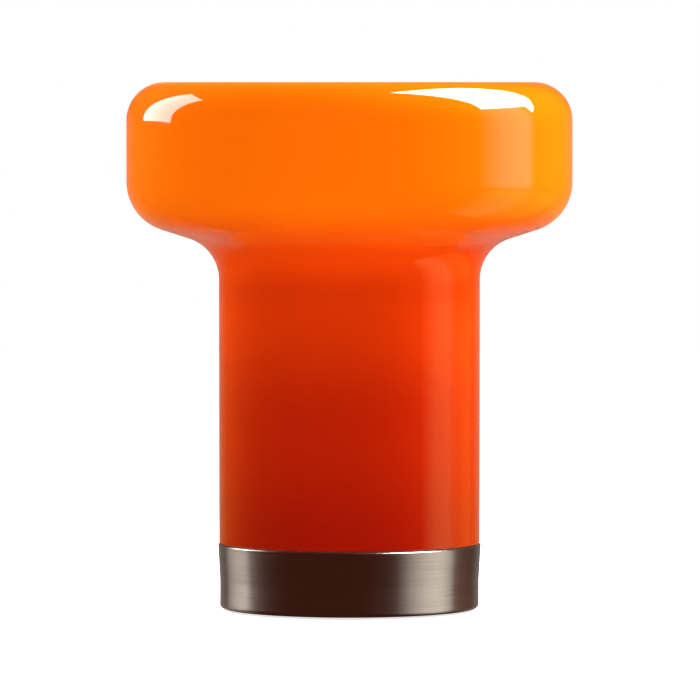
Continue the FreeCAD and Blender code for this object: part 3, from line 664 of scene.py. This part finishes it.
def grip_rib_tree():
    """A tree that sets slim tapered ribs upright round a circle."""
    tree = bpy.data.node_groups.new("grip_ribs", "GeometryNodeTree")
    for name, kind in (
        ("Ring", "NodeSocketGeometry"), ("Ribs", "NodeSocketInt"),
        ("Radius", "NodeSocketFloat"), ("Height", "NodeSocketFloat"),
        ("Rib Size", "NodeSocketVector"), ("Finish", "NodeSocketMaterial"),
    ):
        tree.interface.new_socket(name=name, in_out="INPUT", socket_type=kind)
    tree.interface.new_socket(name="Ribs", in_out="OUTPUT", socket_type="NodeSocketGeometry")
    given = put(tree, "NodeGroupInput").outputs
    circle = put(tree, "GeometryNodeMeshCircle", {
        "Vertices": given["Ribs"], "Radius": given["Radius"],
    }).outputs["Mesh"]
    middle = put(tree, "ShaderNodeCombineXYZ", {"Z": given["Height"]}).outputs["Vector"]
    circle = put(tree, "GeometryNodeSetPosition", {
        "Geometry": circle, "Offset": middle,
    }).outputs["Geometry"]
    place = put(tree, "GeometryNodeInputPosition").outputs["Position"]
    outward = put(tree, "ShaderNodeVectorMath", {
        0: place, 1: (1.0, 1.0, 0.0),
    }, operation="MULTIPLY").outputs["Vector"]
    turn = put(tree, "FunctionNodeAxesToRotation", {
        "Primary Axis": (0.0, 0.0, 1.0), "Secondary Axis": outward,
    }, primary_axis="Z", secondary_axis="X").outputs["Rotation"]
    rib = put(tree, "GeometryNodeMeshUVSphere", {
        "Segments": 12, "Rings": 14, "Radius": 1.0,
    }).outputs["Mesh"]
    rib = put(tree, "GeometryNodeSetShadeSmooth", {"Geometry": rib}).outputs["Geometry"]
    ribs = put(tree, "GeometryNodeInstanceOnPoints", {
        "Points": circle, "Instance": rib, "Rotation": turn, "Scale": given["Rib Size"],
    }).outputs["Instances"]
    ribs = put(tree, "GeometryNodeRealizeInstances", {"Geometry": ribs}).outputs["Geometry"]
    ribs = put(tree, "GeometryNodeSetMaterial", {
        "Geometry": ribs, "Material": given["Finish"],
    }).outputs["Geometry"]
    put(tree, "NodeGroupOutput", {"Ribs": ribs})
    return tree


def plain_object(name, mesh):
    """A linked object at the origin that holds the mesh."""
    thing = bpy.data.objects.new(name, mesh)
    bpy.context.scene.collection.objects.link(thing)
    return thing


def grown(name, mesh, tree, inputs):
    """A plain mesh piece of what the tree makes from the mesh, with its faces turned outwards."""
    seed = plain_object(name + "_seed", mesh)
    modifier = seed.modifiers.new(tree.name, "NODES")
    modifier.node_group = tree
    for item in tree.interface.items_tree:
        if item.in_out == "INPUT" and item.name in inputs:
            modifier[item.identifier] = inputs[item.name]
    graph = bpy.context.evaluated_depsgraph_get()
    made = bpy.data.meshes.new_from_object(seed.evaluated_get(graph))
    bpy.data.objects.remove(seed)
    if not made.polygons:
        raise RuntimeError(name + " came out empty")
    made.name = name
    shell = bmesh.new()
    shell.from_mesh(made)
    bmesh.ops.recalc_face_normals(shell, faces=shell.faces)
    shell.to_mesh(made)
    shell.free()
    return plain_object(name, made)


def dress(material, *nodes):
    """Gives CAD nodes a finish in place of their plain one."""
    for name in nodes:
        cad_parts[name].material_slots[0].material = material


def numbered(stem, count):
    """Names of like nodes, such as foot_1 and foot_2."""
    return [f"{stem}_{number}" for number in range(1, count + 1)]


# One operator for each piece or group of like pieces

class LAMP_OT_glass(bpy.types.Operator):
    """Turn the blown glass shade from its section and give it its two layers"""

    bl_idname = "lamp.glass"
    bl_label = "Glass shade"

    def execute(self, context):
        glass = context.scene.lamp_glass
        corners = shade_section(glass)
        section = bpy.data.meshes.new("shade_section")
        runs = [(n, n + 1) for n in range(len(corners) - 1)]
        section.from_pydata([(radius, 0.0, height) for radius, height, _, _ in corners], runs, [])
        for name, column in (("rounding", 2), ("lining", 3)):
            values = section.attributes.new(name, "FLOAT", "POINT")
            values.data.foreach_set("value", [corner[column] for corner in corners])
        shade = grown("blown_glass_shade", section, turned_wall_tree(), {
            "Segments": glass.segments, "Curve Steps": glass.curve_steps,
            "Longest Edge": glass.longest_edge,
            "Outside": cased_glass(glass), "Lining": opal_lining(glass),
        })
        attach(shade, "glass")
        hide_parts("glass_shade")
        return {"FINISHED"}


class LAMP_OT_ring(bpy.types.Operator):
    """Brush the foot ring"""

    bl_idname = "lamp.ring"
    bl_label = "Foot ring"

    def execute(self, context):
        dress(brushed_ring(context.scene.lamp_metal), "base_ring")
        return {"FINISHED"}


class LAMP_OT_base(bpy.types.Operator):
    """Finish the weight, the feet and all that is zinc plated: plate, spacers, screws, nuts and stem"""

    bl_idname = "lamp.base"
    bl_label = "Base"

    def execute(self, context):
        metal = context.scene.lamp_metal
        fittings = context.scene.lamp_fittings
        dress(
            zinc_plate(metal), "base_plate", "base_screws", "deck_screws", "lip_screws", "stem_tube",
            "stem_washer", "stem_nut", "bush_nut", "holder_grub_screw", *numbered("deck_spacer", 3),
        )
        dress(cast_iron(metal), "ballast_weight")
        rubber = moulded_grain(
            "Rubber, moulded matt", fittings.rubber_colour, hollow="#1a1a1a", grain=0.7 * MM, rough=0.75
        )
        dress(rubber, *numbered("rubber_foot", 4))
        return {"FINISHED"}


class LAMP_OT_deck(bpy.types.Operator):
    """Finish the deck, the glass's seat and its springs"""

    bl_idname = "lamp.deck"
    bl_label = "Deck"

    def execute(self, context):
        fittings = context.scene.lamp_fittings
        dress(powder_coat(fittings), "deck_plate")
        dress(silicone(fittings), "glass_seat")
        dress(spring_strip(context.scene.lamp_metal), *numbered("glass_spring", 3))
        return {"FINISHED"}


class LAMP_OT_lampholder(bpy.types.Operator):
    """Finish the stem and the lampholder, and set grip ribs round its sleeve"""

    bl_idname = "lamp.lampholder"
    bl_label = "Stem and lampholder"

    def execute(self, context):
        metal = context.scene.lamp_metal
        fittings = context.scene.lamp_fittings
        resin = phenolic(fittings)
        dress(satin_nickel(metal), "stem_sleeve")
        dress(resin, "holder_cap", "holder_sleeve")
        dress(porcelain(fittings), "holder_insert")
        dress(stamped_brass(metal), "screw_shell", "centre_contact", "terminal_screws")
        tall = SLEEVE_HIGH.z - SLEEVE_LOW.z
        # The ribs stop short of both ends of the sleeve
        half_rib = tall * 0.4
        ribs = grown("holder_grip_ribs", bpy.data.meshes.new("rib_seed"), grip_rib_tree(), {
            "Ribs": fittings.ribs, "Radius": SLEEVE_HIGH.x, "Height": SLEEVE_LOW.z + tall / 2,
            "Rib Size": (fittings.rib_proud, fittings.rib_width / 2, half_rib), "Finish": resin,
        })
        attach(ribs, "base")
        return {"FINISHED"}


class LAMP_OT_bulb(bpy.types.Operator):
    """Finish the bulb"""

    bl_idname = "lamp.bulb"
    bl_label = "Bulb"

    def execute(self, context):
        fittings = context.scene.lamp_fittings
        dress(opal_bulb(fittings), "bulb_glass")
        dress(rolled_aluminium(), "bulb_cap", "bulb_contact")
        dress(black_vitrite(), "bulb_insulator")
        return {"FINISHED"}


class LAMP_OT_inlet(bpy.types.Operator):
    """Finish the cord bush"""

    bl_idname = "lamp.inlet"
    bl_label = "Cord bush"

    def execute(self, context):
        colour = context.scene.lamp_fittings.nylon_colour
        nylon = moulded_grain(
            "Nylon, moulded fine grain", colour, hollow="#1f1f21", grain=0.5 * MM, rough=0.5
        )
        dress(nylon, "cord_bush")
        return {"FINISHED"}


# Studio

def panel(name, corners, strength, fades=(), piece=None, colour="#ffffff"):
    """A card, placed in millimetres, that only polish shows, or only the one piece it is set up for.

    Each fade is (axis, start, end, share of the strength at its start).
    """
    mesh = bpy.data.meshes.new(name)
    places = [[c * MM for c in corner] for corner in corners]
    mesh.from_pydata(places, [], [list(range(len(corners)))])
    material, tree, place = start_material(name)
    axes = put(tree, "ShaderNodeSeparateXYZ", {"Vector": place}).outputs
    power = strength
    for axis, start, end, share in fades:
        rise = put(tree, "ShaderNodeMapRange", {
            "Value": axes[axis], "From Min": start * MM, "From Max": end * MM, "To Min": share,
        }).outputs["Result"]
        power = put(tree, "ShaderNodeMath", {
            0: rise, 1: power,
        }, operation="MULTIPLY").outputs["Value"]
    glow = put(tree, "ShaderNodeEmission", {
        "Color": opaque(linear(colour)), "Strength": power,
    }).outputs["Emission"]
    if piece:
        # Clear as well, so that the other pieces see what stands behind it
        clear = put(tree, "ShaderNodeBsdfTransparent").outputs["BSDF"]
        glow = put(tree, "ShaderNodeAddShader", {0: glow, 1: clear}).outputs["Shader"]
    put(tree, "ShaderNodeOutputMaterial", {"Surface": glow})
    mesh.materials.append(material)
    card = plain_object(name, mesh)
    for kind in ("camera", "diffuse", "shadow", "transmission", "volume_scatter"):
        setattr(card, "visible_" + kind, False)
    if piece:
        shown_on = bpy.data.collections.new(name + "_shown_on")
        shown_on.objects.link(bpy.data.objects[piece])
        card.light_linking.receiver_collection = shown_on


def upright(side, front, back, foot, top):
    """Corners of a card that stands beside the lamp."""
    return (side, front, foot), (side, back, foot), (side, back, top), (side, front, top)


def hang_cards():
    """The soft boxes and cards that polish shows."""
    shade = "blown_glass_shade"
    ring = "base_ring"
    # How far the cards stand from the lamp's axis, and how far below the floor they reach
    glass_side, ring_side = 400, 150
    glass_foot, ring_foot = -300, -80
    # The long highlight on the head's right shoulder
    panel("overhead_softbox", (
        (659, -220, 566), (689, 187, 536), (809, 204, 416), (707, 269, 518),
        (653, 298, 572), (535, 382, 690), (406, 452, 819), (291, 448, 934),
        (165, -21, 1060), (348, -100, 877), (555, -173, 670),
    ), 24.0)
    # The band down the neck's right side, and the glow along its edge
    panel("neck_card", upright(glass_side, -215, 90, glass_foot, 160), 0.9, (
        ("Y", -215, -95, 0.0), ("Y", 90, 35, 0.0), ("Z", 160, 138, 0.0),
    ), shade, "#fff996")
    panel("neck_edge_card", upright(glass_side, 20, 450, glass_foot, 150), 0.42, (
        ("Y", 20, 90, 0.0), ("Y", 450, 200, 0.0), ("Z", 150, 110, 0.0),
    ), shade, "#ffe050")
    # The pale field below the long highlight
    panel("right_card", upright(glass_side, -215, 60, 150, 410), 1.3, (
        ("Y", -215, -95, 0.0), ("Y", 55, 10, 0.0), ("Z", 150, 190, 0.0),
    ))
    # The short highlight on the head's left shoulder
    panel("left_softbox", (
        (-1559, 319, 268), (-1173, 960, 268), (-1150, 998, 1621), (-1529, 370, 1638),
    ), 7.7)
    # A faint light on the outer edges
    for side, name in ((-1, "left_back_card"), (1, "right_back_card")):
        near, far = 392 * side, 180 * side
        panel(name, (
            (near, 318, glass_foot), (far, 671, glass_foot), (far, 671, 310), (near, 318, 310),
        ), 0.26, (("Y", 318, 644, 0.0), ("Z", 310, 240, 0.0)))
    # The bright bands on the ring, and the warm light low at its ends
    panel("right_ring_card", upright(ring_side, -200, -13, ring_foot, 50), 0.98, (
        ("Y", -190, -60, 0.0), ("Y", -13, -45, 0.55),
    ), ring)
    panel("left_ring_card", upright(-ring_side, -19, 75, ring_foot, 50), 0.34, (), ring)
    for name, side, front in (
        ("left_ring_bounce", -ring_side, 75), ("right_ring_bounce", ring_side, -5),
    ):
        panel(name, upright(side, front, 250, ring_foot, 30), 0.2, (
            ("Z", 25, -50, 0.1),
        ), ring, "#ffb8a0")


def soft_light(name, place, aim, size, power):
    """A soft light that shapes the matt colour and leaves no patch on polished surfaces."""
    lamp = bpy.data.lights.new(name, "AREA")
    lamp.shape = "DISK"
    lamp.size = size
    lamp.energy = power
    thing = bpy.data.objects.new(name, lamp)
    bpy.context.scene.collection.objects.link(thing)
    thing.location = place
    thing.rotation_euler = (Vector(aim) - Vector(place)).to_track_quat("-Z", "Y").to_euler()
    thing.visible_glossy = False
    thing.visible_camera = False


def studio_world(stage):
    """White to the camera, a dim room with a faint backdrop to polish, and even light to the rest."""
    world = bpy.data.worlds.new("studio")
    bpy.context.scene.world = world
    world.use_nodes = True
    # The light from all round is even, so it needs no map of bright spots
    world.cycles.sampling_method = "NONE"
    tree = world.node_tree
    tree.nodes.clear()
    way = put(tree, "ShaderNodeLightPath").outputs
    toward = put(tree, "ShaderNodeTexCoord").outputs["Generated"]
    # The paper behind the lamp curves down to the floor, so it also counts below the horizon
    rearward = (0.0, 1.0, -0.14)
    depth = put(tree, "ShaderNodeVectorMath", {
        0: toward, 1: rearward,
    }, operation="DOT_PRODUCT").outputs["Value"]
    behind = put(tree, "ShaderNodeMapRange", {
        "Value": depth, "From Min": 0.93, "From Max": 0.99,
    }).outputs["Result"]
    shown = put(tree, "ShaderNodeMath", {
        0: way["Is Glossy Ray"], 1: behind,
    }, operation="MULTIPLY").outputs["Value"]
    shown = put(tree, "ShaderNodeMath", {
        0: shown, 1: stage.backdrop_glint,
    }, operation="MULTIPLY").outputs["Value"]
    seen = put(tree, "ShaderNodeMath", {
        0: way["Is Camera Ray"], 1: way["Is Transmission Ray"],
    }, operation="MAXIMUM").outputs["Value"]
    white = put(tree, "ShaderNodeMath", {0: seen, 1: shown}, operation="MAXIMUM").outputs["Value"]
    even = put(tree, "ShaderNodeBackground", {"Color": WHITE, "Strength": stage.room_light})
    room = put(tree, "ShaderNodeBackground", {"Color": opaque(stage.room_colour)})
    paper = put(tree, "ShaderNodeBackground", {"Color": WHITE})
    polish = put(tree, "ShaderNodeMixShader", {
        0: way["Is Glossy Ray"], 1: even.outputs["Background"], 2: room.outputs["Background"],
    })
    mixed = put(tree, "ShaderNodeMixShader", {
        0: white, 1: polish.outputs["Shader"], 2: paper.outputs["Background"],
    })
    put(tree, "ShaderNodeOutputWorld", {"Surface": mixed.outputs["Shader"]})


def lay_floor(stage):
    """A round sheet of studio paper, which polish doesn't show."""
    sheet = bpy.data.meshes.new("studio_floor")
    disc = bmesh.new()
    bmesh.ops.create_circle(disc, cap_ends=True, segments=96, radius=stage.floor_radius)
    disc.to_mesh(sheet)
    disc.free()
    sheet.materials.append(studio_paper(stage))
    floor = plain_object("studio_floor", sheet)
    floor.visible_glossy = False


def set_camera(stage):
    """A long lens level with the lamp's top, aimed at its middle."""
    eye = bpy.data.cameras.new("studio_camera")
    eye.lens = stage.lens
    eye.clip_end = 100.0
    camera = bpy.data.objects.new("studio_camera", eye)
    bpy.context.scene.collection.objects.link(camera)
    camera.location = (stage.camera_right, -stage.camera_back, stage.camera_height)
    look = Vector((stage.camera_right, 0.0, stage.aim_height)) - camera.location
    camera.rotation_euler = look.to_track_quat("-Z", "Y").to_euler()
    bpy.context.scene.camera = camera


class LAMP_OT_stage(bpy.types.Operator):
    """Lay the floor, set the lights and the camera"""

    bl_idname = "lamp.stage"
    bl_label = "Studio"

    def execute(self, context):
        stage = context.scene.lamp_stage
        context.scene.view_settings.view_transform = "Standard"
        lay_floor(stage)
        hang_cards()
        # The lights aim low on the head, the key a little higher
        head = (0.0, 0.0, 0.2)
        soft_light("key_right", (0.69, 0.122, 0.608), (0.0, 0.0, 0.22), 0.5, stage.key_light)
        soft_light("top_soft", (0.22, 0.08, 1.07), head, 0.5, stage.top_light)
        soft_light("soft_left", (-0.539, 0.377, 0.439), head, 0.5, stage.left_light)
        soft_light("fill_front", (0.0, -1.4, 0.9), head, 1.2, stage.front_light)
        studio_world(stage)
        set_camera(stage)
        return {"FINISHED"}


OPERATORS = (
    LAMP_OT_glass, LAMP_OT_ring, LAMP_OT_base, LAMP_OT_deck,
    LAMP_OT_lampholder, LAMP_OT_bulb, LAMP_OT_inlet, LAMP_OT_stage,
)


class LAMP_PT_dressing(bpy.types.Panel):
    """The lamp's settings and steps"""

    bl_idname = "LAMP_PT_dressing"
    bl_label = "Table lamp"
    bl_space_type = "VIEW_3D"
    bl_region_type = "UI"
    bl_category = "Lamp"

    def draw(self, context):
        for operator in OPERATORS:
            self.layout.operator(operator.bl_idname)
        for name, group in GROUPS.items():
            column = self.layout.column()
            for setting in group.__annotations__:
                column.prop(getattr(context.scene, name), setting)


def register():
    for group in (*GROUPS.values(), *OPERATORS, LAMP_PT_dressing):
        bpy.utils.register_class(group)
    for name, group in GROUPS.items():
        setattr(bpy.types.Scene, name, PointerProperty(type=group))


def unregister():
    for name in GROUPS:
        delattr(bpy.types.Scene, name)
    for group in (LAMP_PT_dressing, *OPERATORS, *GROUPS.values()):
        bpy.utils.unregister_class(group)


def main():
    """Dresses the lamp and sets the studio."""
    register()
    bpy.ops.lamp.glass()
    bpy.ops.lamp.ring()
    bpy.ops.lamp.base()
    bpy.ops.lamp.deck()
    bpy.ops.lamp.lampholder()
    bpy.ops.lamp.bulb()
    bpy.ops.lamp.inlet()
    bpy.ops.lamp.stage()


if __name__ == "__main__":
    main()
